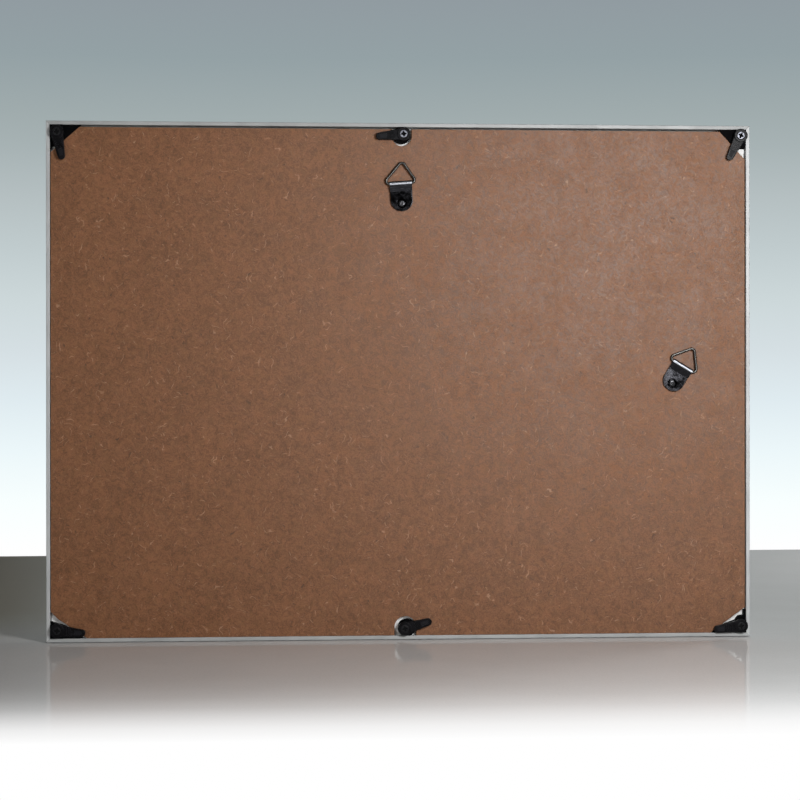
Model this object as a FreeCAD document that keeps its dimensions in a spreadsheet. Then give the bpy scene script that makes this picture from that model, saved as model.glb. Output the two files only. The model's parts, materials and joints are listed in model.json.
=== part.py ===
import FreeCAD, Part
import math
import os
import re

import Sketcher

# A landscape picture frame with thin rails, seen from the back along +Y.
# Lengths are in millimetres and angles in degrees. The origin is the middle of
# the bottom rail's underside: +X to the right as seen from the back, -Y out of
# the back, +Z up. Angles turn anticlockwise as seen from the back.

SIZES = {
    # Rails: an outer wall with a lip round the front
    "frame_width": 410.0,
    "frame_height": 300.0,
    "rail_wall": 2.2,
    "lip_width": 6.0,
    "lip_thickness": 2.4,
    "rail_edge_round": 0.35,
    # Sheets, from the front to the back
    "glass_thickness": 2.0,
    "glass_edge_chamfer": 0.3,
    "insert_thickness": 0.5,
    "filler_thickness": 3.3,
    "board_thickness": 3.2,
    "board_recess": 0.6,
    "sheet_side_gap": 0.4,
    "sheet_top_gap": 0.9,
    # Back board: it lies on the bottom rail and leaves a gap elsewhere
    "board_left_gap": 0.3,
    "board_right_gap": 0.6,
    "board_top_gap": 1.2,
    "board_edge_chamfer": 0.2,
    "top_left_cut_run": 16.5,
    "top_left_cut_rise": 14.6,
    "top_right_cut_run": 14.9,
    "top_right_cut_rise": 16.1,
    "bottom_left_cut_run": 20.7,
    "bottom_left_cut_rise": 15.3,
    "bottom_right_cut_run": 20.5,
    "bottom_right_cut_rise": 14.9,
    # Half-round notches of the board round the seats at the middle of the long rails
    "top_notch_gap": 0.6,
    "top_notch_drop": 0.7,
    "bottom_notch_gap": 1.25,
    "bottom_notch_shift": 0.9,
    "bottom_notch_rise": 0.2,
    # Corner gussets
    "gusset_web": 2.6,
    "gusset_boss_radius": 3.3,
    # Round seats at the middle of the long rails
    "seat_radius": 5.1,
    "seat_inset": 4.6,
    "bottom_seat_place": 2.8,
    "seat_edge_round": 0.4,
    # Turn buttons
    "button_lift": 0.3,
    "hub_radius": 4.0,
    "hub_thickness": 2.6,
    "arm_reach": 16.2,
    "arm_root_width": 7.1,
    "arm_tip_radius": 2.1,
    "arm_thickness": 2.0,
    "button_edge_round": 0.4,
    "rib_first": 5.3,
    "rib_pitch": 1.05,
    "rib_count": 4,
    "rib_width": 0.45,
    "rib_length": 4.6,
    "rib_height": 0.3,
    "thumb_start": 9.7,
    "thumb_root_width": 2.9,
    "thumb_tip_width": 2.1,
    "thumb_depth": 0.25,
    # Cross-head screws, countersunk in the buttons' hubs
    "screw_shank_radius": 1.3,
    "screw_head_radius": 2.25,
    "screw_cone_height": 0.95,
    "screw_rim_height": 0.35,
    "screw_dome_round": 0.3,
    "screw_point": 1.0,
    "screw_tip_gap": 0.5,
    "screw_running_gap": 0.06,
    "screw_seat_gap": 0.05,
    "pilot_gap": 0.04,
    "cross_reach": 1.75,
    "cross_tip_width": 0.62,
    "cross_core": 0.7,
    "cross_depth": 0.65,
    # Places of the screws, measured from the inner faces of the rails
    "top_left_screw_run": 4.1,
    "top_left_screw_rise": 4.4,
    "top_right_screw_run": 3.5,
    "top_right_screw_rise": 3.7,
    "bottom_left_screw_run": 4.1,
    "bottom_left_screw_rise": 4.7,
    "bottom_right_screw_run": 3.5,
    "bottom_right_screw_rise": 4.1,
    "middle_screw_inset": 4.2,
    "top_screw_place": 0.9,
    "bottom_screw_place": 1.4,
    # Directions of the buttons' arms
    "top_left_turn": -79.5,
    "top_right_turn": -117.0,
    "bottom_left_turn": -6.0,
    "bottom_right_turn": -172.5,
    "top_turn": -174.5,
    "bottom_turn": 15.5,
    # Hanger straps: a steel strip folded double round the ring's bar
    "top_hanger_drop": 44.4,
    "top_hanger_turn": 4.0,
    "side_hanger_inset": 44.0,
    "side_hanger_drop": 1.2,
    "side_hanger_turn": -31.0,
    "strap_width": 13.0,
    "strap_sheet": 0.7,
    "strap_tail": 4.6,
    "strap_fold_reach": 11.5,
    "strap_fairing": 4.5,
    "strap_edge_round": 0.3,
    "dimple_radius": 2.8,
    "dimple_floor_radius": 2.1,
    "dimple_floor": 0.5,
    # Rivets through the board
    "rivet_shank_radius": 1.5,
    "rivet_running_gap": 0.08,
    "rivet_head_radius": 1.9,
    "rivet_head_height": 1.0,
    "rivet_head_gap": 0.1,
    "rivet_head_round": 0.8,
    "rivet_flare": 0.9,
    "rivet_seat_gap": 0.04,
    # Triangle rings of round wire
    "ring_wire_radius": 0.8,
    "ring_bar_gap": 0.08,
    "ring_half_width": 8.2,
    "ring_corner_radius": 1.9,
    "ring_apex_radius": 1.9,
    "ring_reach": 11.8,
    "top_ring_shift": 1.4,
    "side_ring_shift": 0.3,
    # How far a cutting shape runs past what it cuts
    "cut_overrun": 1.0,
}

# Depths of the layers behind the front face
GLASS_FRONT = "lip_thickness"
INSERT_FRONT = f"({GLASS_FRONT} + glass_thickness)"
FILLER_FRONT = f"({INSERT_FRONT} + insert_thickness)"
BOARD_FRONT = f"({FILLER_FRONT} + filler_thickness)"
BOARD_BACK = f"({BOARD_FRONT} + board_thickness)"
RAIL_DEPTH = f"({BOARD_BACK} + board_recess)"

# The faces that the sheets and fittings lie against
INNER_SIDE = "(frame_width / 2 - rail_wall)"
INNER_TOP = "(frame_height - rail_wall)"
INNER_BOTTOM = "rail_wall"
BOARD_LEFT = f"(-{INNER_SIDE} + board_left_gap)"
BOARD_RIGHT = f"({INNER_SIDE} - board_right_gap)"
BOARD_TOP = f"({INNER_TOP} - board_top_gap)"
SEAT_HEIGHT = "(board_thickness + board_recess + button_lift)"
STRAP_THICKNESS = "(2 * strap_sheet)"
FOLD_BORE = "(ring_wire_radius + ring_bar_gap)"
FOLD_RADIUS = f"({FOLD_BORE} + strap_sheet)"

# Seats and rivets: their places across the frame, and the rivets' heights
SEAT_PLACES = {"top": "0", "bottom": "bottom_seat_place"}
HANGER_SITES = {
    "top": ("0", f"({INNER_TOP} - top_hanger_drop)"),
    "side": (f"({INNER_SIDE} - side_hanger_inset)", "(frame_height / 2 - side_hanger_drop)"),
}

# Each corner: which way is inwards, and the gaps of the board there
CORNERS = {
    "top_left": {"inwards": (1, -1), "side_gap": "board_left_gap", "end_gap": "board_top_gap"},
    "top_right": {"inwards": (-1, -1), "side_gap": "board_right_gap", "end_gap": "board_top_gap"},
    "bottom_left": {"inwards": (1, 1), "side_gap": "board_left_gap", "end_gap": "0"},
    "bottom_right": {"inwards": (-1, 1), "side_gap": "board_right_gap", "end_gap": "0"},
}

# The bottom left cut has a knee, as shares of its run and rise
cut_knee_shares = {"bottom_left": (0.19, 0.74)}

# Outline of each gusset's web, as shares of the corner between the rails and the line of the board's cut
gusset_outline_shares = {
    "top_left": [(0, 0), (0.983, 0), (0.206, 0.777), (0.056, 0.777), (0.056, 0.885), (0, 0.885)],
    "top_right": [(0, 0), (0.983, 0), (0.366, 0.617), (0, 0.617)],
    "bottom_left": [(0, 0), (0.88, 0), (0.43, 0.453), (0, 0.641)],
    "bottom_right": [(0, 0), (0.93, 0), (0.56, 0.35), (0.31, 0.466), (0.21, 0.641),
                     (0.07, 0.661), (0.07, 0.874), (0, 0.874)],
}

# Two places count as one when they differ by less than this share of the frame's width
closeness_share = 2e-6

doc = FreeCAD.newDocument("ClipFrame")
sheet = doc.addObject("Spreadsheet::Sheet", "Sizes")
for row, (alias, number) in enumerate(SIZES.items(), start=1):
    sheet.set(f"A{row}", alias.replace("_", " "))
    sheet.set(f"B{row}", str(number))
    sheet.setAlias(f"B{row}", alias)
doc.recompute()

bodies = {}


def bound(text):
    """The same expression with each size read from the sheet."""
    return re.sub(r"[a-z_]+", lambda word: f"Sizes.{word[0]}" if word[0] in SIZES else word[0], text)


def value(text):
    """What an expression of sizes comes to."""
    return float(sheet.evalExpression(bound(text)))


def new_body(label):
    body = doc.addObject("PartDesign::Body", label)
    body.Label = label
    bodies[label] = body
    return body


def place(body, x, depth, z, turn="0"):
    """Put a body at x and z, at a depth behind the front face, turned about Y."""
    spot = f"vector({x}; {RAIL_DEPTH} / 2 - {depth}; {z})"
    body.setExpression("Placement", bound(f"placement({spot}; rotation(vector(0; -1; 0); {turn}))"))


def new_sketch(body, name, plane="XZ_Plane", height="0"):
    """A sketch on one of the body's own planes; on XZ, height runs towards the back."""
    sketch = body.newObject("Sketcher::SketchObject", name)
    origin_plane = [feature for feature in body.Origin.OriginFeatures if feature.Role == plane][0]
    sketch.AttachmentSupport = [(origin_plane, "")]
    sketch.MapMode = "FlatFace"
    sketch.setExpression("AttachmentOffset.Base.z", bound(height))
    return sketch


def pin_point(sketch, geometry, point, x, y):
    """Tie one point of a sketch to two expressions of sizes."""
    for kind, text in (("DistanceX", x), ("DistanceY", y)):
        index = sketch.addConstraint(Sketcher.Constraint(kind, -1, 1, geometry, point, value(text)))
        sketch.setExpression(f"Constraints[{index}]", bound(text))


def draw_polygon(sketch, points):
    """A closed outline through points given as pairs of expressions."""
    corners = [FreeCAD.Vector(value(x), value(y), 0) for x, y in points]
    first = sketch.GeometryCount
    for start, end in zip(corners, corners[1:] + corners[:1]):
        sketch.addGeometry(Part.LineSegment(start, end), False)
    for step, (x, y) in enumerate(points):
        following = first + (step + 1) % len(points)
        sketch.addConstraint(Sketcher.Constraint("Coincident", first + step, 2, following, 1))
        pin_point(sketch, first + step, 1, x, y)


def draw_rectangle(sketch, left, bottom, right, top):
    draw_polygon(sketch, [(left, bottom), (right, bottom), (right, top), (left, top)])


def draw_circle(sketch, x, y, radius):
    centre = FreeCAD.Vector(value(x), value(y), 0)
    circle = sketch.addGeometry(Part.Circle(centre, FreeCAD.Vector(0, 0, 1), value(radius)), False)
    pin_point(sketch, circle, 3, x, y)
    index = sketch.addConstraint(Sketcher.Constraint("Radius", circle, value(radius)))
    sketch.setExpression(f"Constraints[{index}]", bound(radius))


def tangent_points(first, second):
    """Where the outer tangent touches two circles, going anticlockwise round them."""
    (x1, y1, r1), (x2, y2, r2) = first, second
    gap = math.hypot(x2 - x1, y2 - y1)
    along = ((x2 - x1) / gap, (y2 - y1) / gap)
    lean = (r1 - r2) / gap
    out = math.sqrt(1 - lean * lean)
    normal = (lean * along[0] + out * along[1], lean * along[1] - out * along[0])
    return [FreeCAD.Vector(x + r * normal[0], y + r * normal[1], 0) for x, y, r in (first, second)]


def draw_belt(sketch, circles, through_origin=False):
    """Arcs round circles given anticlockwise, joined by their outer tangents.

    With through_origin, the tangent back to the first circle starts and ends at the origin.
    """
    numbers = [tuple(value(text) for text in circle) for circle in circles]
    following = numbers[1:] + numbers[:1]
    tangents = [tangent_points(*pair) for pair in zip(numbers, following)]
    origin = FreeCAD.Vector(0, 0, 0)
    arcs = []
    pieces = []
    if through_origin:
        pieces.append(sketch.addGeometry(Part.LineSegment(origin, tangents[-1][1]), False))
    for step, (x, y, radius) in enumerate(numbers):
        ends = (tangents[step - 1][1], tangents[step][0])
        start, end = [math.atan2(point.y - y, point.x - x) for point in ends]
        circle = Part.Circle(FreeCAD.Vector(x, y, 0), FreeCAD.Vector(0, 0, 1), radius)
        arcs.append(sketch.addGeometry(Part.ArcOfCircle(circle, start, end), False))
        leave, arrive = tangents[step]
        if through_origin and step == len(numbers) - 1:
            arrive = origin
        pieces.append(arcs[-1])
        pieces.append(sketch.addGeometry(Part.LineSegment(leave, arrive), False))
    joints = list(zip(pieces, pieces[1:]))
    if through_origin:
        sketch.addConstraint(Sketcher.Constraint("Coincident", pieces[0], 1, -1, 1))
        sketch.addConstraint(Sketcher.Constraint("Coincident", pieces[-1], 2, -1, 1))
    else:
        joints.append((pieces[-1], pieces[0]))
    for before, after in joints:
        sketch.addConstraint(Sketcher.Constraint("Tangent", before, 2, after, 1))
    for arc, (x, y, radius) in zip(arcs, circles):
        pin_point(sketch, arc, 3, x, y)
        index = sketch.addConstraint(Sketcher.Constraint("Radius", arc, value(radius)))
        sketch.setExpression(f"Constraints[{index}]", bound(radius))


def pad(body, sketch, length, midplane=False):
    feature = body.newObject("PartDesign::Pad", sketch.Name + "Pad")
    feature.Profile = sketch
    feature.Midplane = midplane
    feature.setExpression("Length", bound(length))
    return feature


def pocket(body, sketch, length, midplane=False):
    """Cut into the body from the sketch, and check that something was cut."""
    doc.recompute()
    before = body.Shape.Volume
    feature = body.newObject("PartDesign::Pocket", sketch.Name + "Pocket")
    feature.Profile = sketch
    feature.Midplane = midplane
    feature.setExpression("Length", bound(length))
    doc.recompute()
    if body.Shape.Volume >= before:
        raise RuntimeError(f"{body.Label}: {feature.Name} cuts nothing")
    return feature


def turned(body, sketch, kind):
    """A full turn of a sketch on the XY plane about the Y axis, added or cut."""
    feature = body.newObject(kind, sketch.Name + "Turn")
    feature.Profile = sketch
    feature.ReferenceAxis = (sketch, ["V_Axis"])
    feature.Angle = 360
    return feature


def round_edges(body, kind, size, keep):
    """Fillet or chamfer the edges whose middle point passes the test."""
    doc.recompute()
    base = body.Tip
    edges = []
    for index, edge in enumerate(base.Shape.Edges, start=1):
        middle = edge.valueAt((edge.FirstParameter + edge.LastParameter) / 2)
        if keep(middle, edge):
            edges.append(f"Edge{index}")
    feature = body.newObject(kind, body.Name + "Edges")
    feature.Base = (base, edges)
    size_name = "Radius" if kind == "PartDesign::Fillet" else "Size"
    feature.setExpression(size_name, bound(size))
    return feature


def near(first, second):
    tolerance = closeness_share * value("frame_width")
    return math.isclose(first, second, rel_tol=0, abs_tol=tolerance)


# Rails

def rail(label, length, x, z, turn):
    """A rail with mitred ends, its outer face at z 0 and its lip reaching up."""
    body = new_body(label)
    half = f"{length} / 2"
    front = new_sketch(body, label + "_outline")
    draw_polygon(front, [
        (f"-{half}", "0"),
        (half, "0"),
        (f"{half} - lip_width", "lip_width"),
        (f"-({half} - lip_width)", "lip_width"),
    ])
    pad(body, front, RAIL_DEPTH)
    rebate = new_sketch(body, label + "_rebate", height=RAIL_DEPTH)
    draw_rectangle(rebate, f"-{half}", "rail_wall", half, "lip_width + cut_overrun")
    pocket(body, rebate, f"{RAIL_DEPTH} - lip_thickness")
    back = -value(RAIL_DEPTH)
    rounded = [(0, 0), (back, 0), (back, value("rail_wall")), (0, value("lip_width"))]

    def long_edge(middle, edge):
        along = abs(edge.tangentAt(edge.FirstParameter).x)
        return near(along, 1) and any(near(middle.y, y) and near(middle.z, z) for y, z in rounded)

    round_edges(body, "PartDesign::Fillet", "rail_edge_round", long_edge)
    place(body, x, "0", z, turn)


# Glass, insert, filler and back board

def plain_sheet(label, depth, thickness):
    """A full rectangle that stands on the bottom rail."""
    body = new_body(label)
    outline = new_sketch(body, label + "_outline")
    side = f"({INNER_SIDE} - sheet_side_gap)"
    draw_rectangle(outline, f"-{side}", INNER_BOTTOM, side, f"{INNER_TOP} - sheet_top_gap")
    pad(body, outline, thickness)
    place(body, "0", depth, "0")
    return body


def glass_pane():
    body = plain_sheet("glass_pane", GLASS_FRONT, "glass_thickness")
    faces = (0, -value("glass_thickness"))
    round_edges(body, "PartDesign::Chamfer", "glass_edge_chamfer",
                lambda middle, edge: any(near(middle.y, face) for face in faces))


def board_outline():
    """Corner points of the back board, clockwise from the top left cut."""
    edges = {"top_left": (BOARD_LEFT, BOARD_TOP), "top_right": (BOARD_RIGHT, BOARD_TOP),
             "bottom_right": (BOARD_RIGHT, INNER_BOTTOM), "bottom_left": (BOARD_LEFT, INNER_BOTTOM)}
    points = []
    for corner, (edge_x, edge_z) in edges.items():
        along, up = CORNERS[corner]["inwards"]
        cut = [(0, 1), (1, 0)]
        if corner in cut_knee_shares:
            cut.insert(1, cut_knee_shares[corner])
        if along * up > 0:
            cut.reverse()
        for run_share, rise_share in cut:
            x = f"{edge_x} + {along * run_share} * {corner}_cut_run"
            z = f"{edge_z} + {up * rise_share} * {corner}_cut_rise"
            points.append((x, z))
    return points


def back_board():
    """Hardboard with four cut corners, two notches and two rivet holes."""
    body = new_body("back_board")
    outline = new_sketch(body, "board_outline")
    draw_polygon(outline, board_outline())
    pad(body, outline, "board_thickness")
    notches = {
        "top": (SEAT_PLACES["top"], f"({INNER_TOP} - seat_inset - top_notch_drop)", INNER_TOP),
        "bottom": (f"({SEAT_PLACES['bottom']} - bottom_notch_shift)",
                   f"({INNER_BOTTOM} + seat_inset + bottom_notch_rise)", "0"),
    }
    for name, (x, z, end) in notches.items():
        radius = f"(seat_radius + {name}_notch_gap)"
        half_round = new_sketch(body, name + "_notch_round", height="board_thickness")
        draw_circle(half_round, x, z, radius)
        pocket(body, half_round, "board_thickness")
        mouth = new_sketch(body, name + "_notch_mouth", height="board_thickness")
        draw_rectangle(mouth, f"{x} - {radius}", z, f"{x} + {radius}", end)
        pocket(body, mouth, "board_thickness")
    back = -value("board_thickness")
    round_edges(body, "PartDesign::Chamfer", "board_edge_chamfer",
                lambda middle, edge: near(middle.y, back))
    hole = value("rivet_shank_radius + rivet_seat_gap")
    for name, (x, z) in HANGER_SITES.items():
        holes = new_sketch(body, name + "_rivet_hole", height="board_thickness")
        draw_circle(holes, x, z, "rivet_shank_radius + rivet_seat_gap")
        pocket(body, holes, "board_thickness")
    round_edges(body, "PartDesign::Chamfer", "rivet_flare",
                lambda middle, edge: near(middle.y, 0) and edge.Curve.TypeId == "Part::GeomCircle"
                and near(edge.Curve.Radius, hole))
    place(body, "0", BOARD_FRONT, "0")


# Gussets and seats that carry the turn buttons

def pilot_hole(body, label, x, z):
    """The hole that the screw bites into, open towards the back."""
    hole = new_sketch(body, label + "_pilot", height=SEAT_HEIGHT)
    draw_circle(hole, x, z, "screw_shank_radius + pilot_gap")
    pocket(body, hole, SEAT_HEIGHT)


def gusset(corner):
    """A corner web that fills the board's cut, with a boss under the turn button."""
    label = f"{corner}_gusset"
    body = new_body(label)
    spot = CORNERS[corner]
    along, up = spot["inwards"]
    stretch = f"(1 + {spot['side_gap']} / {corner}_cut_run + {spot['end_gap']} / {corner}_cut_rise)"
    run = f"({corner}_cut_run * {stretch})"
    rise = f"({corner}_cut_rise * {stretch})"
    web = new_sketch(body, label + "_web")
    draw_polygon(web, [(f"{along * run_share} * {run}", f"{up * rise_share} * {rise}")
                       for run_share, rise_share in gusset_outline_shares[corner]])
    pad(body, web, "gusset_web")
    x = f"{along} * {corner}_screw_run"
    z = f"{up} * {corner}_screw_rise"
    far_x = f"{along} * ({corner}_screw_run + gusset_boss_radius)"
    far_z = f"{up} * ({corner}_screw_rise + gusset_boss_radius)"
    block = new_sketch(body, label + "_block")
    draw_polygon(block, [("0", "0"), (far_x, "0"), (far_x, z), (x, z), (x, far_z), ("0", far_z)])
    pad(body, block, SEAT_HEIGHT)
    boss = new_sketch(body, label + "_boss")
    draw_circle(boss, x, z, "gusset_boss_radius")
    pad(body, boss, SEAT_HEIGHT)
    pilot_hole(body, label, x, z)
    edge_z = INNER_TOP if up < 0 else INNER_BOTTOM
    place(body, f"{-along} * {INNER_SIDE}", BOARD_FRONT, edge_z)


def button_seat(name, up, edge_z):
    """A round seat with a flat against the rail, in the board's notch."""
    label = f"{name}_button_seat"
    body = new_body(label)
    disc = new_sketch(body, label + "_disc")
    middle_x = SEAT_PLACES[name]
    draw_circle(disc, middle_x, f"{up} * seat_inset", "seat_radius")
    pad(body, disc, SEAT_HEIGHT)
    top = -value(SEAT_HEIGHT)
    round_edges(body, "PartDesign::Fillet", "seat_edge_round",
                lambda middle, edge: near(middle.y, top))
    flat = new_sketch(body, label + "_flat", height=SEAT_HEIGHT)
    draw_rectangle(flat, f"{middle_x} - 2 * seat_radius", f"{-up} * 2 * seat_radius",
                   f"{middle_x} + 2 * seat_radius", "0")
    pocket(body, flat, SEAT_HEIGHT)
    pilot_hole(body, label, f"{name}_screw_place", f"{up} * middle_screw_inset")
    place(body, "0", BOARD_FRONT, edge_z)


# Turn buttons and their screws

def turn_button(site, x, z):
    """A lever with a round hub, grip ribs and a thumb recess, along local +X."""
    label = f"{site}_turn_button"
    body = new_body(label)
    tip = "arm_reach - arm_tip_radius"
    arm = new_sketch(body, label + "_arm")
    draw_belt(arm, [("0", "0", "arm_root_width / 2"), (tip, "0", "arm_tip_radius")])
    pad(body, arm, "arm_thickness")
    arm_top = -value("arm_thickness")
    round_edges(body, "PartDesign::Fillet", "button_edge_round",
                lambda middle, edge: near(middle.y, arm_top))
    hub = new_sketch(body, label + "_hub")
    draw_circle(hub, "0", "0", "hub_radius")
    pad(body, hub, "hub_thickness")
    hub_top = -value("hub_thickness")
    round_edges(body, "PartDesign::Fillet", "button_edge_round",
                lambda middle, edge: near(middle.y, hub_top))
    thumb = new_sketch(body, label + "_thumb", height="arm_thickness")
    draw_polygon(thumb, [("thumb_start", "-thumb_root_width / 2"), (tip, "-thumb_tip_width / 2"),
                         (tip, "thumb_tip_width / 2"), ("thumb_start", "thumb_root_width / 2")])
    pocket(body, thumb, "thumb_depth")
    rib = new_sketch(body, label + "_rib", height="arm_thickness")
    draw_rectangle(rib, "rib_first - rib_width / 2", "-rib_length / 2",
                   "rib_first + rib_width / 2", "rib_length / 2")
    rib_pad = pad(body, rib, "rib_height")
    ribs = body.newObject("PartDesign::LinearPattern", label + "_ribs")
    ribs.Originals = [rib_pad]
    ribs.Direction = (rib, ["H_Axis"])
    ribs.setExpression("Length", bound("rib_pitch * (rib_count - 1)"))
    ribs.setExpression("Occurrences", bound("rib_count"))
    body.Tip = ribs
    bore = new_sketch(body, label + "_bore", plane="XY_Plane")
    bore_radius = "(screw_shank_radius + screw_running_gap)"
    head_radius = "(screw_head_radius + screw_seat_gap)"
    cone_top = "(hub_thickness - screw_rim_height)"
    cone_end = f"({cone_top} - screw_cone_height)"
    draw_polygon(bore, [
        ("0", "cut_overrun"),
        (bore_radius, "cut_overrun"),
        (bore_radius, f"-{cone_end}"),
        (head_radius, f"-{cone_top}"),
        (head_radius, "-(hub_thickness + cut_overrun)"),
        ("0", "-(hub_thickness + cut_overrun)"),
    ])
    doc.recompute()
    before = body.Shape.Volume
    turned(body, bore, "PartDesign::Groove")
    doc.recompute()
    if body.Shape.Volume >= before:
        raise RuntimeError(f"{label}: the bore cuts nothing")
    place(body, x, f"({RAIL_DEPTH} + button_lift)", z, f"{site}_turn")


def pivot_screw(site, x, z):
    """A countersunk cross-head screw, its head level with the hub's top."""
    label = f"{site}_pivot_screw"
    body = new_body(label)
    head_top = "(hub_thickness + screw_seat_gap)"
    cone_top = f"({head_top} - screw_rim_height)"
    cone_end = f"({cone_top} - screw_cone_height)"
    tip = f"({SEAT_HEIGHT} - screw_tip_gap)"
    profile = new_sketch(body, label + "_profile", plane="XY_Plane")
    draw_polygon(profile, [
        ("0", f"-{head_top}"),
        ("screw_head_radius", f"-{head_top}"),
        ("screw_head_radius", f"-{cone_top}"),
        ("screw_shank_radius", f"-{cone_end}"),
        ("screw_shank_radius", f"{tip} - screw_point"),
        ("0", tip),
    ])
    turned(body, profile, "PartDesign::Revolution")
    top = -value(head_top)
    round_edges(body, "PartDesign::Fillet", "screw_dome_round",
                lambda middle, edge: near(middle.y, top))
    cross = new_sketch(body, label + "_cross", height=head_top)
    half = "cross_tip_width / 2"
    core = "cross_core"
    arm = [("cross_reach", f"-{half}"), ("cross_reach", half), (core, core)]
    points = []
    for quarter in range(4):
        points += arm
        arm = [(f"-({y})", x_text) for x_text, y in arm]
    draw_polygon(cross, points)
    pocket(body, cross, "cross_depth")
    place(body, x, f"({RAIL_DEPTH} + button_lift)", z, f"{site}_turn")


# Hangers

def hanger_strap(name):
    """A strip folded double, with a roll for the ring's bar and a dimple for the rivet."""
    label = f"{name}_hanger_strap"
    body = new_body(label)
    half = "strap_width / 2"
    tail_centre = f"({half} - strap_tail)"
    plate = new_sketch(body, label + "_plate")
    draw_rectangle(plate, f"-{half}", tail_centre, half, "strap_fold_reach")
    pad(body, plate, STRAP_THICKNESS)
    tail = new_sketch(body, label + "_tail")
    draw_circle(tail, "0", tail_centre, half)
    pad(body, tail, STRAP_THICKNESS)
    back = -value(STRAP_THICKNESS)
    low = value("strap_fold_reach - strap_fairing")
    round_edges(body, "PartDesign::Fillet", "strap_edge_round",
                lambda middle, edge: near(middle.y, back) and middle.z < low)
    fairing = new_sketch(body, label + "_fairing", plane="YZ_Plane")
    draw_polygon(fairing, [
        ("0", "strap_fold_reach - strap_fairing"),
        ("0", "strap_fold_reach"),
        (f"-2 * {FOLD_RADIUS}", "strap_fold_reach"),
        (f"-{STRAP_THICKNESS}", "strap_fold_reach - strap_fairing"),
    ])
    pad(body, fairing, "strap_width", midplane=True)
    roll = new_sketch(body, label + "_roll", plane="YZ_Plane")
    draw_circle(roll, f"-{FOLD_RADIUS}", "strap_fold_reach", FOLD_RADIUS)
    pad(body, roll, "strap_width", midplane=True)
    bore = new_sketch(body, label + "_bore", plane="YZ_Plane")
    draw_circle(bore, f"-{FOLD_RADIUS}", "strap_fold_reach", FOLD_BORE)
    pocket(body, bore, "strap_width + 2 * cut_overrun", midplane=True)
    dimple = new_sketch(body, label + "_dimple", plane="XY_Plane")
    hole = "(rivet_shank_radius + rivet_running_gap)"
    draw_polygon(dimple, [
        ("0", "cut_overrun"),
        (hole, "cut_overrun"),
        (hole, "-dimple_floor"),
        ("dimple_floor_radius", "-dimple_floor"),
        ("dimple_radius", f"-{STRAP_THICKNESS}"),
        ("dimple_radius", f"-({STRAP_THICKNESS} + cut_overrun)"),
        ("0", f"-({STRAP_THICKNESS} + cut_overrun)"),
    ])
    turned(body, dimple, "PartDesign::Groove")
    x, z = HANGER_SITES[name]
    place(body, x, BOARD_BACK, z, f"{name}_hanger_turn")


def hanger_rivet(name):
    """A rivet with a domed head in the strap's dimple, flared in the board's front."""
    label = f"{name}_hanger_rivet"
    body = new_body(label)
    head_under = "(dimple_floor + rivet_head_gap)"
    head_top = f"({head_under} + rivet_head_height)"
    profile = new_sketch(body, label + "_profile", plane="XY_Plane")
    draw_polygon(profile, [
        ("0", f"-{head_top}"),
        ("rivet_head_radius", f"-{head_top}"),
        ("rivet_head_radius", f"-{head_under}"),
        ("rivet_shank_radius", f"-{head_under}"),
        ("rivet_shank_radius", "board_thickness - rivet_flare"),
        ("rivet_shank_radius + rivet_flare", "board_thickness"),
        ("0", "board_thickness"),
    ])
    turned(body, profile, "PartDesign::Revolution")
    top = -value(head_top)
    round_edges(body, "PartDesign::Fillet", "rivet_head_round",
                lambda middle, edge: near(middle.y, top))
    x, z = HANGER_SITES[name]
    place(body, x, BOARD_BACK, z, f"{name}_hanger_turn")


def hanger_ring(name):
    """A triangle of round wire whose bar turns in the strap's roll."""
    label = f"{name}_hanger_ring"
    body = new_body(label)
    path = new_sketch(body, label + "_path")
    corner_x = "(ring_half_width - ring_corner_radius)"
    draw_belt(path, [
        (corner_x, "ring_corner_radius", "ring_corner_radius"),
        (f"{name}_ring_shift", "ring_reach - ring_apex_radius", "ring_apex_radius"),
        (f"-{corner_x}", "ring_corner_radius", "ring_corner_radius"),
    ], through_origin=True)
    wire = new_sketch(body, label + "_wire", plane="YZ_Plane")
    draw_circle(wire, "0", "0", "ring_wire_radius")
    sweep = body.newObject("PartDesign::AdditivePipe", label + "_sweep")
    sweep.Profile = wire
    sweep.Spine = path
    turn = f"{name}_hanger_turn"
    rivet_x, rivet_z = HANGER_SITES[name]
    x = f"{rivet_x} - strap_fold_reach * sin({turn})"
    z = f"{rivet_z} + strap_fold_reach * cos({turn})"
    place(body, x, f"({BOARD_BACK} + {FOLD_RADIUS})", z, turn)


rail("bottom_rail", "frame_width", "0", "0", "0")
rail("top_rail", "frame_width", "0", "frame_height", "180")
rail("left_rail", "frame_height", "-frame_width / 2", "frame_height / 2", "-90")
rail("right_rail", "frame_height", "frame_width / 2", "frame_height / 2", "90")
glass_pane()
plain_sheet("insert_sheet", INSERT_FRONT, "insert_thickness")
plain_sheet("filler_card", FILLER_FRONT, "filler_thickness")
back_board()

SCREW_SITES = {
    "top": ("top_screw_place", f"({INNER_TOP} - middle_screw_inset)"),
    "bottom": ("bottom_screw_place", f"({INNER_BOTTOM} + middle_screw_inset)"),
}
for corner, spot in CORNERS.items():
    along, up = spot["inwards"]
    edge_z = INNER_TOP if up < 0 else INNER_BOTTOM
    SCREW_SITES[corner] = (f"{-along} * ({INNER_SIDE} - {corner}_screw_run)",
                           f"({edge_z} + {up} * {corner}_screw_rise)")
    gusset(corner)
button_seat("top", -1, INNER_TOP)
button_seat("bottom", 1, INNER_BOTTOM)
for site, (x, z) in SCREW_SITES.items():
    turn_button(site, x, z)
    pivot_screw(site, x, z)
for name in HANGER_SITES:
    hanger_strap(name)
    hanger_rivet(name)
    hanger_ring(name)

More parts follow.
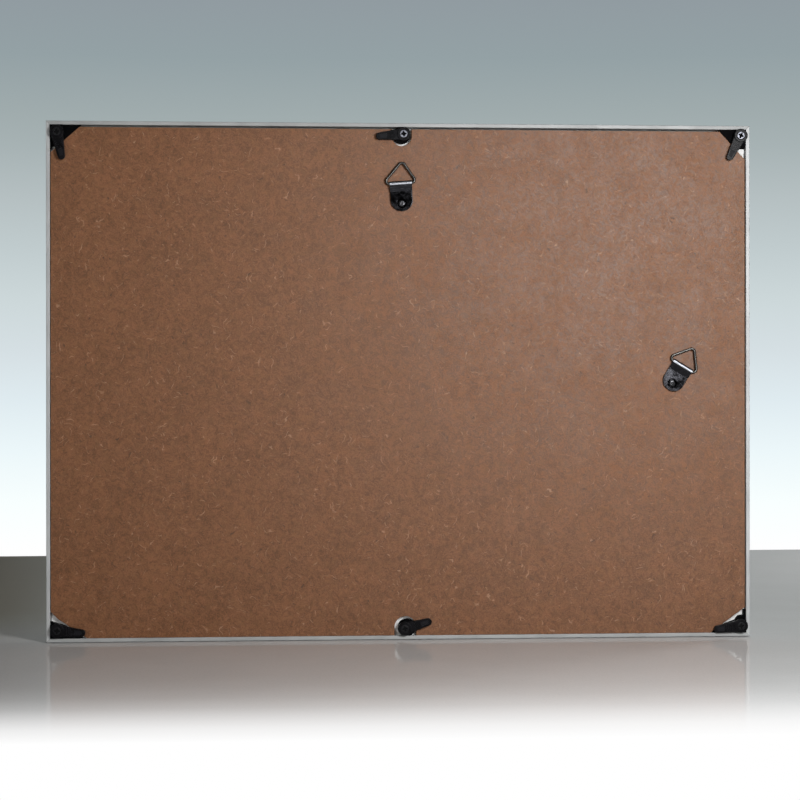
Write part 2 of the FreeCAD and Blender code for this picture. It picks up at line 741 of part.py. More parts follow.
doc.recompute()
for item in doc.Objects:
    if "Invalid" in item.State or "Error" in item.State:
        raise RuntimeError(f"{item.Name} is {item.State}")
for label, body in bodies.items():
    if body.Shape.isNull() or not body.Shape.isValid() or len(body.Shape.Solids) != 1:
        raise RuntimeError(f"{label} is not one valid solid")

os.makedirs("parts", exist_ok=True)
for label, body in bodies.items():
    body.Shape.exportStep(f"parts/{label}.step")
print(f"{len(bodies)} sub-parts written")
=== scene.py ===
import json
import math

import bmesh
import bpy
from mathutils import Matrix, Vector


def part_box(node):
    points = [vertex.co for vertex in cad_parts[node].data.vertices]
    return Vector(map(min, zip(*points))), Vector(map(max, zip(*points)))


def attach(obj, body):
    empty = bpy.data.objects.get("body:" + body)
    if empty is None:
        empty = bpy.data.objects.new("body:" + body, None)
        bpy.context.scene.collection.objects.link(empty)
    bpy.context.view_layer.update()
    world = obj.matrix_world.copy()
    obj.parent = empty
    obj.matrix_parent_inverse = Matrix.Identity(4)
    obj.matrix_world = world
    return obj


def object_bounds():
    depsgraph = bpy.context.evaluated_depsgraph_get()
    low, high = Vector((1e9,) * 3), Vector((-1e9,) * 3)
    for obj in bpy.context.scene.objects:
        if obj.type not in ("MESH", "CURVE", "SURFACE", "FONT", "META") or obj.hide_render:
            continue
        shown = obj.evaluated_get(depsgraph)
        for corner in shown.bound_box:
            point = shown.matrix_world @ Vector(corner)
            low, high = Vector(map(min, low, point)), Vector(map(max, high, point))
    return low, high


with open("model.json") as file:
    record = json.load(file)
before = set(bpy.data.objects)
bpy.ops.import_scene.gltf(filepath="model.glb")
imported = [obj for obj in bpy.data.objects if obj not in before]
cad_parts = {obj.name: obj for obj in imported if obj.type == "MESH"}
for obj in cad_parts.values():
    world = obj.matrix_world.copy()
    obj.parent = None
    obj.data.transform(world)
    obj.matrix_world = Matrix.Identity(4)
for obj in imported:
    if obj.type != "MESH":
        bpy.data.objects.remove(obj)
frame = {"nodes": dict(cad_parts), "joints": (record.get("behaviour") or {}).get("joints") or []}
cad_box = [list(corner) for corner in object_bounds()]

MM = 0.001


# Helpers for building materials

def connect(tree, value, socket):
    """Feed a socket with a number, a colour or another node's output."""
    if isinstance(value, bpy.types.NodeSocket):
        tree.links.new(value, socket)
    else:
        socket.default_value = value


def add(tree, kind, inputs=None, **settings):
    """A node with its settings, its inputs given by name."""
    node = tree.nodes.new(kind)
    for name, setting in settings.items():
        setattr(node, name, setting)
    for name, value in (inputs or {}).items():
        connect(tree, value, node.inputs[name])
    return node


def feed(tree, node, *values):
    """Fill a node's inputs in their order, and give back its outputs."""
    for value, socket in zip(values, node.inputs):
        connect(tree, value, socket)
    return node.outputs


def calc(tree, operation, *values):
    """The result of one sum; values are numbers or sockets."""
    return feed(tree, add(tree, "ShaderNodeMath", operation=operation), *values)["Value"]


def vector_calc(tree, operation, *values):
    """The outputs of one sum of vectors: Vector, or Value for a length or a dot product."""
    return feed(tree, add(tree, "ShaderNodeVectorMath", operation=operation), *values)


def weighted_sum(tree, *shares):
    """The sum of several values, each given with its weight."""
    total = None
    for value, weight in shares:
        part = calc(tree, "MULTIPLY", value, weight)
        total = part if total is None else calc(tree, "ADD", total, part)
    return total


def fade(tree, value, low, high, to_low=0.0, to_high=1.0):
    """A smooth step from to_low to to_high as the value goes from low to high."""
    node = add(tree, "ShaderNodeMapRange", interpolation_type="SMOOTHSTEP", inputs={
        "Value": value, "From Min": low, "From Max": high, "To Min": to_low, "To Max": to_high})
    return node.outputs["Result"]


def rgb(red, green, blue):
    """An opaque colour."""
    return (red, green, blue, 1.0)


def scaled_rgb(shade, share):
    """A shade made darker or lighter: each of its parts times the share."""
    return rgb(*[share * part for part in shade])


def colour_mix(tree, factor, first, second, blend_type="MIX"):
    """The first colour, with as much of the second as the factor says."""
    node = add(tree, "ShaderNodeMix", data_type="RGBA", blend_type=blend_type)
    connect(tree, factor, node.inputs[0])
    for value, socket in ((first, node.inputs[6]), (second, node.inputs[7])):
        connect(tree, value, socket)
    return node.outputs[2]


def tint(tree, base, mask, share, colour):
    """The base colour, with up to the given share of another colour where the mask is full."""
    return colour_mix(tree, calc(tree, "MULTIPLY", mask, share), base, colour)


def colour_ramp(tree, value, stops):
    """A colour that goes through the stops: each has a place from 0 to 1 and a colour's parts."""
    node = add(tree, "ShaderNodeValToRGB", inputs={"Fac": value})
    ramp = node.color_ramp
    for place, _ in stops[1:-1]:
        ramp.elements.new(place)
    for element, (place, colour) in zip(sorted(ramp.elements, key=lambda e: e.position), stops):
        element.position = place
        element.color = rgb(*colour)
    return node.outputs["Color"]


def blend_shaders(tree, factor, first, second):
    """The first shader, with as much of the second as the factor says."""
    return feed(tree, add(tree, "ShaderNodeMixShader"), factor, first, second)["Shader"]


def millimetres(tree):
    """Object coordinates in millimetres."""
    place = add(tree, "ShaderNodeTexCoord").outputs["Object"]
    node = add(tree, "ShaderNodeMapping", vector_type="TEXTURE", inputs={
        "Vector": place, "Scale": (MM, MM, MM)})
    return node.outputs["Vector"]


def axes_of(tree, vector):
    """The X, Y and Z of a place or a direction."""
    return add(tree, "ShaderNodeSeparateXYZ", inputs={"Vector": vector}).outputs


def along(tree, spot, turn, stretch, offset=(0, 0, 0)):
    """The same place turned about Y and measured in steps of a different length each way."""
    rotation = (0, math.radians(turn), 0)
    node = add(tree, "ShaderNodeMapping", vector_type="TEXTURE", inputs={
        "Vector": spot, "Rotation": rotation, "Scale": stretch, "Location": offset})
    return node.outputs["Vector"]


def noise(tree, spot, size, detail=3.0, roughness=0.55, output="Fac"):
    """Noise whose patches are about size millimetres wide."""
    node = add(tree, "ShaderNodeTexNoise", inputs={
        "Vector": spot, "Scale": 1.0 / size, "Detail": detail, "Roughness": roughness})
    return node.outputs[output]


# Effects that several materials share

def new_group(name, inputs, outputs):
    """An empty node group with named inputs and outputs."""
    tree = bpy.data.node_groups.new(name, "ShaderNodeTree")
    for label, kind, value in inputs:
        socket = tree.interface.new_socket(label, in_out="INPUT", socket_type=kind)
        socket.default_value = value
    for label, kind in outputs:
        tree.interface.new_socket(label, in_out="OUTPUT", socket_type=kind)
    return tree, tree.nodes.new("NodeGroupInput"), tree.nodes.new("NodeGroupOutput")


# How well the rounded normal agrees with the face's own: on a flat, and on a fully worn edge
FLAT_COSINE = 0.995
EDGE_COSINE = 0.86


def worn_edges_group():
    """Where an edge is rubbed bright or pale, broken up by soft patches."""
    tree, given, result = new_group(
        "worn edges",
        [("Width", "NodeSocketFloat", 0.3), ("Patch Size", "NodeSocketFloat", 3.0)],
        [("Mask", "NodeSocketFloat")])
    width = calc(tree, "MULTIPLY", given.outputs["Width"], MM)
    rounded = add(tree, "ShaderNodeBevel", samples=6, inputs={"Radius": width}).outputs["Normal"]
    flat = add(tree, "ShaderNodeNewGeometry").outputs["Normal"]
    agreement = vector_calc(tree, "DOT_PRODUCT", rounded, flat)["Value"]
    edge = fade(tree, agreement, FLAT_COSINE, EDGE_COSINE)
    scale = calc(tree, "DIVIDE", 1.0, given.outputs["Patch Size"])
    patches = add(tree, "ShaderNodeTexNoise", inputs={
        "Vector": millimetres(tree), "Scale": scale, "Detail": 4.0})
    mask = calc(tree, "MULTIPLY", edge, fade(tree, patches.outputs["Fac"], 0.38, 0.62))
    tree.links.new(mask, result.inputs["Mask"])
    return tree


def handling_group():
    """Faint smears, for the roughness, and a mask of pale dust."""
    tree, given, result = new_group(
        "handling",
        [("Smear Size", "NodeSocketFloat", 12.0), ("Dust", "NodeSocketFloat", 0.2)],
        [("Smears", "NodeSocketFloat"), ("Dust", "NodeSocketFloat")])
    spot = millimetres(tree)
    scale = calc(tree, "DIVIDE", 1.0, given.outputs["Smear Size"])
    soft = add(tree, "ShaderNodeTexNoise", inputs={
        "Vector": spot, "Scale": scale, "Detail": 3.0, "Distortion": 0.8})
    tree.links.new(fade(tree, soft.outputs["Fac"], 0.35, 0.7), result.inputs["Smears"])
    grains = noise(tree, spot, 0.35, 2.0, 0.7)
    drift = noise(tree, spot, 9.0, 2.0)
    settled = calc(tree, "MULTIPLY", fade(tree, grains, 0.55, 0.72), fade(tree, drift, 0.3, 0.75))
    tree.links.new(calc(tree, "MULTIPLY", settled, given.outputs["Dust"]), result.inputs["Dust"])
    return tree


def drawn_metal_group():
    """Fine lines left by drawing or rolling a metal, along X of the given place."""
    tree, given, result = new_group(
        "drawn metal",
        [("Vector", "NodeSocketVector", (0, 0, 0)), ("Line Width", "NodeSocketFloat", 0.08),
         ("Line Length", "NodeSocketFloat", 30.0)],
        [("Height", "NodeSocketFloat"), ("Scratches", "NodeSocketFloat")])
    across = calc(tree, "DIVIDE", 1.0, given.outputs["Line Width"])
    lengthwise = calc(tree, "DIVIDE", 1.0, given.outputs["Line Length"])
    size = add(tree, "ShaderNodeCombineXYZ", inputs={"X": lengthwise, "Y": across, "Z": across})
    stretched = vector_calc(tree, "MULTIPLY", given.outputs["Vector"], size.outputs["Vector"])
    spot = stretched["Vector"]
    lines = add(tree, "ShaderNodeTexNoise", inputs={
        "Vector": spot, "Scale": 1.0, "Detail": 3.0, "Roughness": 0.6})
    tree.links.new(lines.outputs["Fac"], result.inputs["Height"])
    sparse = add(tree, "ShaderNodeTexNoise", inputs={
        "Vector": spot, "Scale": 0.31, "Detail": 1.0, "Distortion": 0.6})
    tree.links.new(fade(tree, sparse.outputs["Fac"], 0.66, 0.74), result.inputs["Scratches"])
    return tree


WORN_EDGES = worn_edges_group()
HANDLING = handling_group()
DRAWN_METAL = drawn_metal_group()


def group(tree, source, **inputs):
    """Place a node group in a material with its own values, and give back its outputs."""
    node = add(tree, "ShaderNodeGroup", node_tree=source)
    for name, value in inputs.items():
        connect(tree, value, node.inputs[name.replace("_", " ")])
    return node.outputs


def empty_material(name):
    """A material without any nodes yet, and its tree."""
    material = bpy.data.materials.new(name)
    material.use_nodes = True
    material.node_tree.nodes.clear()
    return material, material.node_tree


def new_material(name, **constants):
    """A material with one Principled shader; constants are set on the shader's own sockets."""
    material, tree = empty_material(name)
    shader = add(tree, "ShaderNodeBsdfPrincipled")
    output = add(tree, "ShaderNodeOutputMaterial")
    tree.links.new(shader.outputs["BSDF"], output.inputs["Surface"])
    for label, value in constants.items():
        shader.inputs[label.replace("_", " ")].default_value = value
    return material, tree, shader


def smeared(tree, roughness, touched, share):
    """The roughness, raised by up to the given share where the surface is smeared."""
    return calc(tree, "ADD", roughness, calc(tree, "MULTIPLY", touched["Smears"], share))


def set_surface(tree, shader, colour, roughness, height, depth_mm, strength):
    """Give the shader its colour, its roughness and a relief of at most depth_mm."""
    tree.links.new(colour, shader.inputs["Base Color"])
    tree.links.new(roughness, shader.inputs["Roughness"])
    bump = add(tree, "ShaderNodeBump",
               inputs={"Height": height, "Distance": depth_mm * MM, "Strength": strength})
    tree.links.new(bump.outputs["Normal"], shader.inputs["Normal"])


# Hardboard: pressed brown fibres, with pale curly strands and dark specks

BOARD_DARK = rgb(0.116, 0.043, 0.012)
BOARD_LIGHT = rgb(0.232, 0.093, 0.037)
BOARD_OLIVE = rgb(0.210, 0.094, 0.032)
BOARD_STRAND = rgb(0.44, 0.248, 0.148)
BOARD_SPECK = rgb(0.050, 0.022, 0.009)
BOARD_RUBBED = rgb(0.33, 0.20, 0.125)
BOARD_DUST = rgb(0.45, 0.40, 0.36)

# Layers of pale strands: direction in degrees, length and width in millimetres, seed and the
# share that shows
STRAND_LAYERS = (
    (12, 7.0, 0.95, 1, 0.12),
    (72, 6.0, 0.9, 2, 0.11),
    (128, 8.0, 1.0, 3, 0.11),
    (160, 4.5, 0.8, 4, 0.14),
    (45, 4.5, 0.8, 5, 0.14),
    (100, 12.0, 1.2, 6, 0.05))

# Cells this deep, in millimetres, look the same through the board's thickness
STRAND_DEPTH = 1000.0


def strands(tree, spot, turn, length, width, seed, share):
    """Thin curly strands that lie roughly one way; share is how many of them show."""
    placed = along(tree, spot, turn, (length, STRAND_DEPTH, width), (seed * 37.0, 0, seed * 91.0))
    cells = add(tree, "ShaderNodeTexVoronoi", inputs={"Vector": placed, "Scale": 1.0})
    line = fade(tree, cells.outputs["Distance"], 0.30, 0.10)
    lot = add(tree, "ShaderNodeSeparateColor", inputs={"Color": cells.outputs["Color"]})
    chosen = calc(tree, "GREATER_THAN", lot.outputs["Red"], 1.0 - share)
    strong = fade(tree, lot.outputs["Green"], 0.0, 1.0, 0.25, 1.0)
    return calc(tree, "MULTIPLY", calc(tree, "MULTIPLY", line, chosen), strong)


def specks(tree, spot, pitch, radius, seed, share):
    """Small dark specks, one at most in each cell of the given pitch."""
    placed = along(tree, spot, 0, (pitch, pitch, pitch), (seed * 53.0, 0, seed * 17.0))
    cells = add(tree, "ShaderNodeTexVoronoi", inputs={"Vector": placed, "Scale": 1.0})
    lot = add(tree, "ShaderNodeSeparateColor", inputs={"Color": cells.outputs["Color"]})
    reach = fade(tree, lot.outputs["Blue"], 0.0, 1.0, 0.5 * radius / pitch, radius / pitch)
    inside = calc(tree, "SUBTRACT", 1.0, calc(tree, "DIVIDE", cells.outputs["Distance"], reach))
    chosen = calc(tree, "GREATER_THAN", lot.outputs["Red"], 1.0 - share)
    return calc(tree, "MULTIPLY", fade(tree, inside, 0.0, 0.6), chosen)


def brown_hardboard():
    """The back board's finish: mottled brown, strands, specks, rubbed edges and a little dust."""
    material, tree, shader = new_material("brown_hardboard", Specular_IOR_Level=0.52)
    spot = millimetres(tree)
    swirl = noise(tree, spot, 7.0, 2.0, output="Color")
    centred = vector_calc(tree, "SUBTRACT", swirl, (0.5, 0.5, 0.5))["Vector"]
    curled = vector_calc(tree, "MULTIPLY_ADD", centred, (9.0, 0.0, 9.0), spot)["Vector"]

    broad = noise(tree, spot, 26.0, 3.0)
    cloudy = noise(tree, curled, 5.5, 3.0, 0.6)
    grain = noise(tree, curled, 1.5, 3.0, 0.65)
    fine = noise(tree, spot, 0.75, 2.0, 0.7)
    felted = noise(tree, along(tree, curled, 35, (2.4, 1.0, 0.8)), 1.3, 2.0)
    tone = weighted_sum(
        tree, (cloudy, 0.20), (grain, 0.36), (broad, 0.12), (felted, 0.16), (fine, 0.42))
    brown = colour_mix(tree, fade(tree, tone, 0.51, 0.75), BOARD_DARK, BOARD_LIGHT)
    olive = noise(tree, curled, 3.2, 2.0)
    brown = colour_mix(tree, fade(tree, olive, 0.45, 0.65, 0.0, 0.25), brown, BOARD_OLIVE)

    pale = None
    for layer in STRAND_LAYERS:
        lines = strands(tree, curled, *layer)
        pale = lines if pale is None else calc(tree, "MAXIMUM", pale, lines)
    brown = tint(tree, brown, pale, 0.54, BOARD_STRAND)
    large = specks(tree, curled, pitch=6.0, radius=0.85, seed=1, share=0.45)
    small = specks(tree, curled, pitch=3.0, radius=0.52, seed=2, share=0.36)
    dots = calc(tree, "MAXIMUM", large, small)
    slivers = strands(tree, curled, turn=57, length=7.0, width=1.6, seed=8, share=0.12)
    dark = calc(tree, "MAXIMUM", calc(tree, "MULTIPLY", dots, 0.75),
                calc(tree, "MULTIPLY", slivers, 0.50))
    brown = colour_mix(tree, dark, brown, BOARD_SPECK)

    wear = group(tree, WORN_EDGES, Width=0.6, Patch_Size=2.0)["Mask"]
    brown = tint(tree, brown, wear, 0.5, BOARD_RUBBED)
    touched = group(tree, HANDLING, Smear_Size=26.0, Dust=0.10)
    brown = colour_mix(tree, touched["Dust"], brown, BOARD_DUST)
    gloss = smeared(tree, fade(tree, grain, 0.3, 0.7, 0.47, 0.60), touched, 0.05)
    height = weighted_sum(tree, (grain, 0.7), (pale, 0.35))
    height = calc(tree, "SUBTRACT", height, calc(tree, "MULTIPLY", dark, 0.5))
    set_surface(tree, shader, brown, gloss, height, 0.09, 0.5)
    return material


# Silver rails

RAIL_LINES = rgb(0.50, 0.505, 0.50)
RAIL_DUST = rgb(0.30, 0.28, 0.25)
RAIL_SCRATCH = rgb(0.25, 0.25, 0.24)
RAIL_RUBBED = rgb(0.60, 0.61, 0.60)
RAIL_JOINT = rgb(0.05, 0.05, 0.048)


def mitre_line(tree, spot):
    """A mask of the fine lines where the rails meet, at 45 degrees from the frame's corners."""
    low, high = cad_box
    half_width = 0.5 * (high[0] - low[0]) / MM
    half_height = 0.5 * (high[2] - low[2]) / MM
    axes = axes_of(tree, spot)
    from_side = calc(tree, "SUBTRACT", half_width, calc(tree, "ABSOLUTE", axes["X"]))
    from_middle = calc(tree, "ABSOLUTE", calc(tree, "SUBTRACT", axes["Z"], half_height))
    from_end = calc(tree, "SUBTRACT", half_height, from_middle)
    off_mitre = calc(tree, "ABSOLUTE", calc(tree, "SUBTRACT", from_side, from_end))
    return fade(tree, off_mitre, 0.16, 0.04)


def silver_rail(name, turn, shade):
    """Satin silver, drawn along the rail, with a fine dark line at each mitre."""
    material, tree, shader = new_material(name, Metallic=0.15, Specular_IOR_Level=0.35)
    spot = millimetres(tree)
    lengthwise = along(tree, spot, turn, (1, 1, 1))
    drawn = group(tree, DRAWN_METAL, Vector=lengthwise, Line_Width=0.09, Line_Length=42.0)
    soft = noise(tree, spot, 18.0, 3.0)
    silver = colour_mix(tree, fade(tree, soft, 0.3, 0.7), scaled_rgb(shade, 0.82), rgb(*shade))
    lines = fade(tree, drawn["Height"], 0.4, 0.7, 0.0, 0.14)
    silver = colour_mix(tree, lines, silver, RAIL_LINES)
    touched = group(tree, HANDLING, Smear_Size=20.0, Dust=0.3)
    silver = tint(tree, silver, touched["Dust"], 0.4, RAIL_DUST)
    silver = tint(tree, silver, drawn["Scratches"], 0.10, RAIL_SCRATCH)
    wear = group(tree, WORN_EDGES, Width=0.35, Patch_Size=6.0)["Mask"]
    silver = tint(tree, silver, wear, 0.30, RAIL_RUBBED)
    mitre = mitre_line(tree, spot)
    silver = tint(tree, silver, mitre, 0.75, RAIL_JOINT)
    gloss = smeared(tree, fade(tree, drawn["Height"], 0.35, 0.7, 0.48, 0.60), touched, 0.06)
    height = calc(tree, "SUBTRACT", calc(tree, "MULTIPLY", drawn["Height"], 0.4), mitre)
    set_surface(tree, shader, silver, gloss, height, 0.012, 0.4)
    return material


# Black moulded plastic of the buttons, seats and gussets

PLASTIC_RUBBED = rgb(0.036, 0.035, 0.040)
PLASTIC_DUST = rgb(0.17, 0.155, 0.14)


def black_plastic(name, shade, sheen, roughness, texture):
    """Moulded plastic; sheen is the shader's specular level, texture the size of its grain."""
    material, tree, shader = new_material(name, Specular_IOR_Level=sheen)
    spot = millimetres(tree)
    cloud = noise(tree, spot, 4.0, 3.0)
    dark = rgb(shade * 0.85, shade * 0.84, shade * 0.98)
    light = rgb(shade * 1.3, shade * 1.25, shade * 1.55)
    black = colour_mix(tree, fade(tree, cloud, 0.3, 0.7), dark, light)
    wear = group(tree, WORN_EDGES, Width=0.4, Patch_Size=1.6)["Mask"]
    black = tint(tree, black, wear, 0.40, PLASTIC_RUBBED)
    touched = group(tree, HANDLING, Smear_Size=5.0, Dust=0.08)
    black = colour_mix(tree, touched["Dust"], black, PLASTIC_DUST)
    mottled = fade(tree, cloud, 0.3, 0.7, roughness - 0.06, roughness + 0.06)
    gloss = smeared(tree, mottled, touched, 0.08)
    grain = noise(tree, spot, texture, 2.0, 0.6)
    set_surface(tree, shader, black, gloss, grain, 0.03, 0.5)
    return material


# Steel of the screws, hangers and rivets

STEEL_DUST = rgb(0.2, 0.18, 0.16)
# Near black, painted into the screws' cross recesses as their shade
RECESS_PAINTED_SHADE = rgb(0.006, 0.006, 0.007)


def plated_steel(name, shade, worn, roughness, metallic, rub,
                 turn=0.0, painted_shade_from=None, painted_highlight_from=None):
    """Plated steel with faint lines along the turn; worn is its colour where it is rubbed.

    Rub says how bare the edges are. What lies deeper than painted_shade_from is darkened to near
    black, a painted shade in the recesses; what stands prouder than painted_highlight_from takes
    the worn colour and more roughness, a painted highlight.
    """
    material, tree, shader = new_material(name, Metallic=metallic)
    spot = millimetres(tree)
    lengthwise = along(tree, spot, turn, (1, 1, 1))
    drawn = group(tree, DRAWN_METAL, Vector=lengthwise, Line_Width=0.07, Line_Length=4.0)
    cloud = noise(tree, spot, 2.6, 3.0)
    steel = colour_mix(tree, fade(tree, cloud, 0.3, 0.7),
                       scaled_rgb(shade, 0.82), scaled_rgb(shade, 1.18))
    steel = tint(tree, steel, drawn["Scratches"], 0.4, rgb(*worn))
    wear = group(tree, WORN_EDGES, Width=0.22, Patch_Size=2.2)["Mask"]
    steel = tint(tree, steel, wear, rub, rgb(*worn))
    touched = group(tree, HANDLING, Smear_Size=4.0, Dust=0.2)
    steel = tint(tree, steel, touched["Dust"], 0.5, STEEL_DUST)
    mottled = fade(tree, cloud, 0.3, 0.7, roughness - 0.05, roughness + 0.05)
    gloss = smeared(tree, mottled, touched, 0.10)
    depth = axes_of(tree, spot)["Y"]
    if painted_highlight_from is not None:
        # Painted highlight: the roll's crest takes the pale worn colour and more roughness, for
        # the light it catches
        rubbed = fade(tree, depth, painted_highlight_from, painted_highlight_from - 0.25)
        steel = colour_mix(tree, rubbed, steel, rgb(*worn))
        gloss = calc(tree, "MAXIMUM", gloss, calc(tree, "MULTIPLY", rubbed, 0.42))
    if painted_shade_from is not None:
        # Painted shade: deeper than this, the recess is darkened and dulled to stand in for its
        # shadow
        recess_shade = fade(tree, depth, painted_shade_from, painted_shade_from + 0.15)
        steel = colour_mix(tree, recess_shade, steel, RECESS_PAINTED_SHADE)
        gloss = calc(tree, "MAXIMUM", gloss, calc(tree, "MULTIPLY", recess_shade, 0.9))
    set_surface(tree, shader, steel, gloss, drawn["Height"], 0.012, 0.5)
    return material


# Paper, card and glass

AGED_WHITE = rgb(0.74, 0.72, 0.66)
GLASS_FACE = rgb(0.955, 0.985, 0.972)
GLASS_EDGE = rgb(0.72, 0.86, 0.80)
GLASS_LIGHT = rgb(0.93, 0.96, 0.95)


def white_sheet(name, shade, fibre):
    """White paper or card; fibre is the size of its grain."""
    material, tree, shader = new_material(name, Specular_IOR_Level=0.3)
    spot = millimetres(tree)
    pulp = noise(tree, spot, fibre, 4.0, 0.6)
    patches = noise(tree, spot, 40.0, 2.0)
    white = colour_mix(tree, fade(tree, pulp, 0.3, 0.7), scaled_rgb(shade, 0.95), rgb(*shade))
    white = colour_mix(tree, fade(tree, patches, 0.4, 0.7, 0.0, 0.12), white, AGED_WHITE)
    set_surface(tree, shader, white, fade(tree, pulp, 0.3, 0.7, 0.72, 0.86), pulp, 0.03, 0.4)
    return material


def clear_glass():
    """Clear glass with greenish edges; plain light goes straight through to the sheet behind."""
    material, tree, shader = new_material("clear_glass", IOR=1.5, Transmission_Weight=1.0)
    spot = millimetres(tree)
    haze = group(tree, HANDLING, Smear_Size=60.0, Dust=0.15)
    edge = group(tree, WORN_EDGES, Width=0.5, Patch_Size=4.0)["Mask"]
    tree.links.new(tint(tree, GLASS_FACE, edge, 0.6, GLASS_EDGE), shader.inputs["Base Color"])
    clean = fade(tree, noise(tree, spot, 30.0), 0.3, 0.7, 0.004, 0.02)
    smooth = smeared(tree, clean, haze, 0.03)
    rough_edge = calc(tree, "MULTIPLY", edge, 0.3)
    tree.links.new(calc(tree, "ADD", smooth, rough_edge), shader.inputs["Roughness"])
    rays = add(tree, "ShaderNodeLightPath").outputs
    lets_light_in = calc(tree, "MAXIMUM", rays["Is Shadow Ray"], rays["Is Diffuse Ray"])
    open_pane = add(tree, "ShaderNodeBsdfTransparent", inputs={"Color": GLASS_LIGHT})
    pane = blend_shaders(tree, lets_light_in, shader.outputs["BSDF"], open_pane.outputs["BSDF"])
    output = next(node for node in tree.nodes if node.bl_idname == "ShaderNodeOutputMaterial")
    tree.links.new(pane, output.inputs["Surface"])
    return material


# Depths in millimetres along Y: past the first, the screws' cross recesses get a painted shade;
# past the second, the straps' rolls get a painted highlight at their crests
SCREW_SHADE_DEPTH = cad_box[0][1] / MM + 0.07
ROLL_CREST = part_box("top_hanger_strap")[0].y / MM + 0.30

HARDBOARD = brown_hardboard()
# Painted light: the rails are one silver, but the upright ones get a paler shade than the level
# ones for the light they catch; their drawn lines also run the other way
RAIL_LEVEL = silver_rail("silver_rail_level", turn=0, shade=(0.42, 0.43, 0.43))
RAIL_UPRIGHT = silver_rail("silver_rail_upright", turn=90, shade=(0.54, 0.555, 0.56))
BUTTON_BLACK = black_plastic(
    "black_button", shade=0.0050, sheen=0.09, roughness=0.27, texture=0.28)
GUSSET_BLACK = black_plastic(
    "black_gusset", shade=0.0020, sheen=0.02, roughness=0.60, texture=0.4)
THUMB_BLACK = black_plastic(
    "black_thumb_pad", shade=0.012, sheen=0.08, roughness=0.48, texture=0.16)
# Painted light: the top and top right screws are dark screws like the rest, given a paler plated
# colour for the lamp's reflection they catch
SCREW_PAINTED_BRIGHT = plated_steel(
    "screw_steel_painted_bright", shade=(0.150, 0.155, 0.178), worn=(0.42, 0.43, 0.48),
    roughness=0.40, metallic=1.0, rub=0.5, painted_shade_from=SCREW_SHADE_DEPTH)
BLACK_OXIDE = plated_steel(
    "black_oxide", shade=(0.016, 0.016, 0.018), worn=(0.08, 0.08, 0.085),
    roughness=0.38, metallic=0.7, rub=0.4, painted_shade_from=SCREW_SHADE_DEPTH)
DARK_NICKEL = plated_steel(
    "dark_nickel", shade=(0.023, 0.023, 0.026), worn=(0.31, 0.32, 0.35),
    roughness=0.11, metallic=1.0, rub=0.25, turn=4.0, painted_highlight_from=ROLL_CREST)
RIVET_NICKEL = plated_steel(
    "rivet_nickel", shade=(0.060, 0.060, 0.064), worn=(0.40, 0.40, 0.43),
    roughness=0.17, metallic=1.0, rub=0.5)
RING_STEEL = plated_steel(
    "ring_steel", shade=(0.062, 0.061, 0.058), worn=(0.30, 0.30, 0.29),
    roughness=0.27, metallic=1.0, rub=0.0, turn=60.0)
WHITE_CARD = white_sheet("white_card", shade=(0.87, 0.87, 0.86), fibre=0.5)
WHITE_PAPER = white_sheet("white_paper", shade=(0.88, 0.88, 0.87), fibre=0.25)
GLASS = clear_glass()

# The two screws whose colour is painted brighter for the light they catch
SCREWS_PAINTED_BRIGHT = ("top_pivot_screw", "top_right_pivot_screw")


def finish_for(node):
    """The material of each part of the frame."""
    if node in ("top_rail", "bottom_rail"):
        return RAIL_LEVEL
    if node.endswith("rail"):
        return RAIL_UPRIGHT
    if node.endswith("turn_button"):
        return BUTTON_BLACK
    if node.endswith(("gusset", "button_seat")):
        return GUSSET_BLACK
    if node.endswith("pivot_screw"):
        return SCREW_PAINTED_BRIGHT if node in SCREWS_PAINTED_BRIGHT else BLACK_OXIDE
    if node.endswith("strap"):
        return DARK_NICKEL
    if node.endswith("rivet"):
        return RIVET_NICKEL
    if node.endswith("ring"):
        return RING_STEEL
    return {"glass_pane": GLASS, "insert_sheet": WHITE_PAPER,
            "filler_card": WHITE_CARD, "back_board": HARDBOARD}[node]


for node, part in frame["nodes"].items():
    part.data.materials.clear()
    part.data.materials.append(finish_for(node))


# Pieces that the solids leave out: a thin grained pad in each turn button's thumb recess

def new_object(name, mesh, material):
    """An object made from the mesh, with its faces outwards."""
    data = bpy.data.meshes.new(name)
    bmesh.ops.recalc_face_normals(mesh, faces=mesh.faces)
    mesh.to_mesh(data)
    mesh.free()
    data.materials.append(material)
    made = bpy.data.objects.new(name, data)
    bpy.context.scene.collection.objects.link(made)
    return made


def new_piece(name, mesh, material, body):
    """A piece that rides on a body, with the given material."""
    piece = new_object(name, mesh, material)
    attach(piece, body)


# How far each turn button's arm is turned from +X, in degrees
BUTTON_TURNS = {"top": -174.5, "bottom": 15.5, "top_left": -79.5,
                "top_right": -117.0, "bottom_left": -6.0, "bottom_right": -172.5}

# The pad along the arm: its start from the pivot, its length, its widths at the root and the tip
PAD_START = 9.85 * MM
PAD_LENGTH = 4.1 * MM
PAD_ROOT = 2.6 * MM
PAD_TIP = 1.85 * MM
PAD_THICKNESS = 0.10 * MM
PAD_ROUNDING = 0.03 * MM

# Edges whose faces turn by more than this, in radians, are the pad's rims
RIM_ANGLE = 1.0

# From the arm's underside to the floor of its recess: the arm's thickness less the recess's depth
RECESS_FLOOR = (2.0 - 0.25) * MM

pivots = {joint["child"]: Vector(joint["pos_m"]) for joint in frame["joints"]}


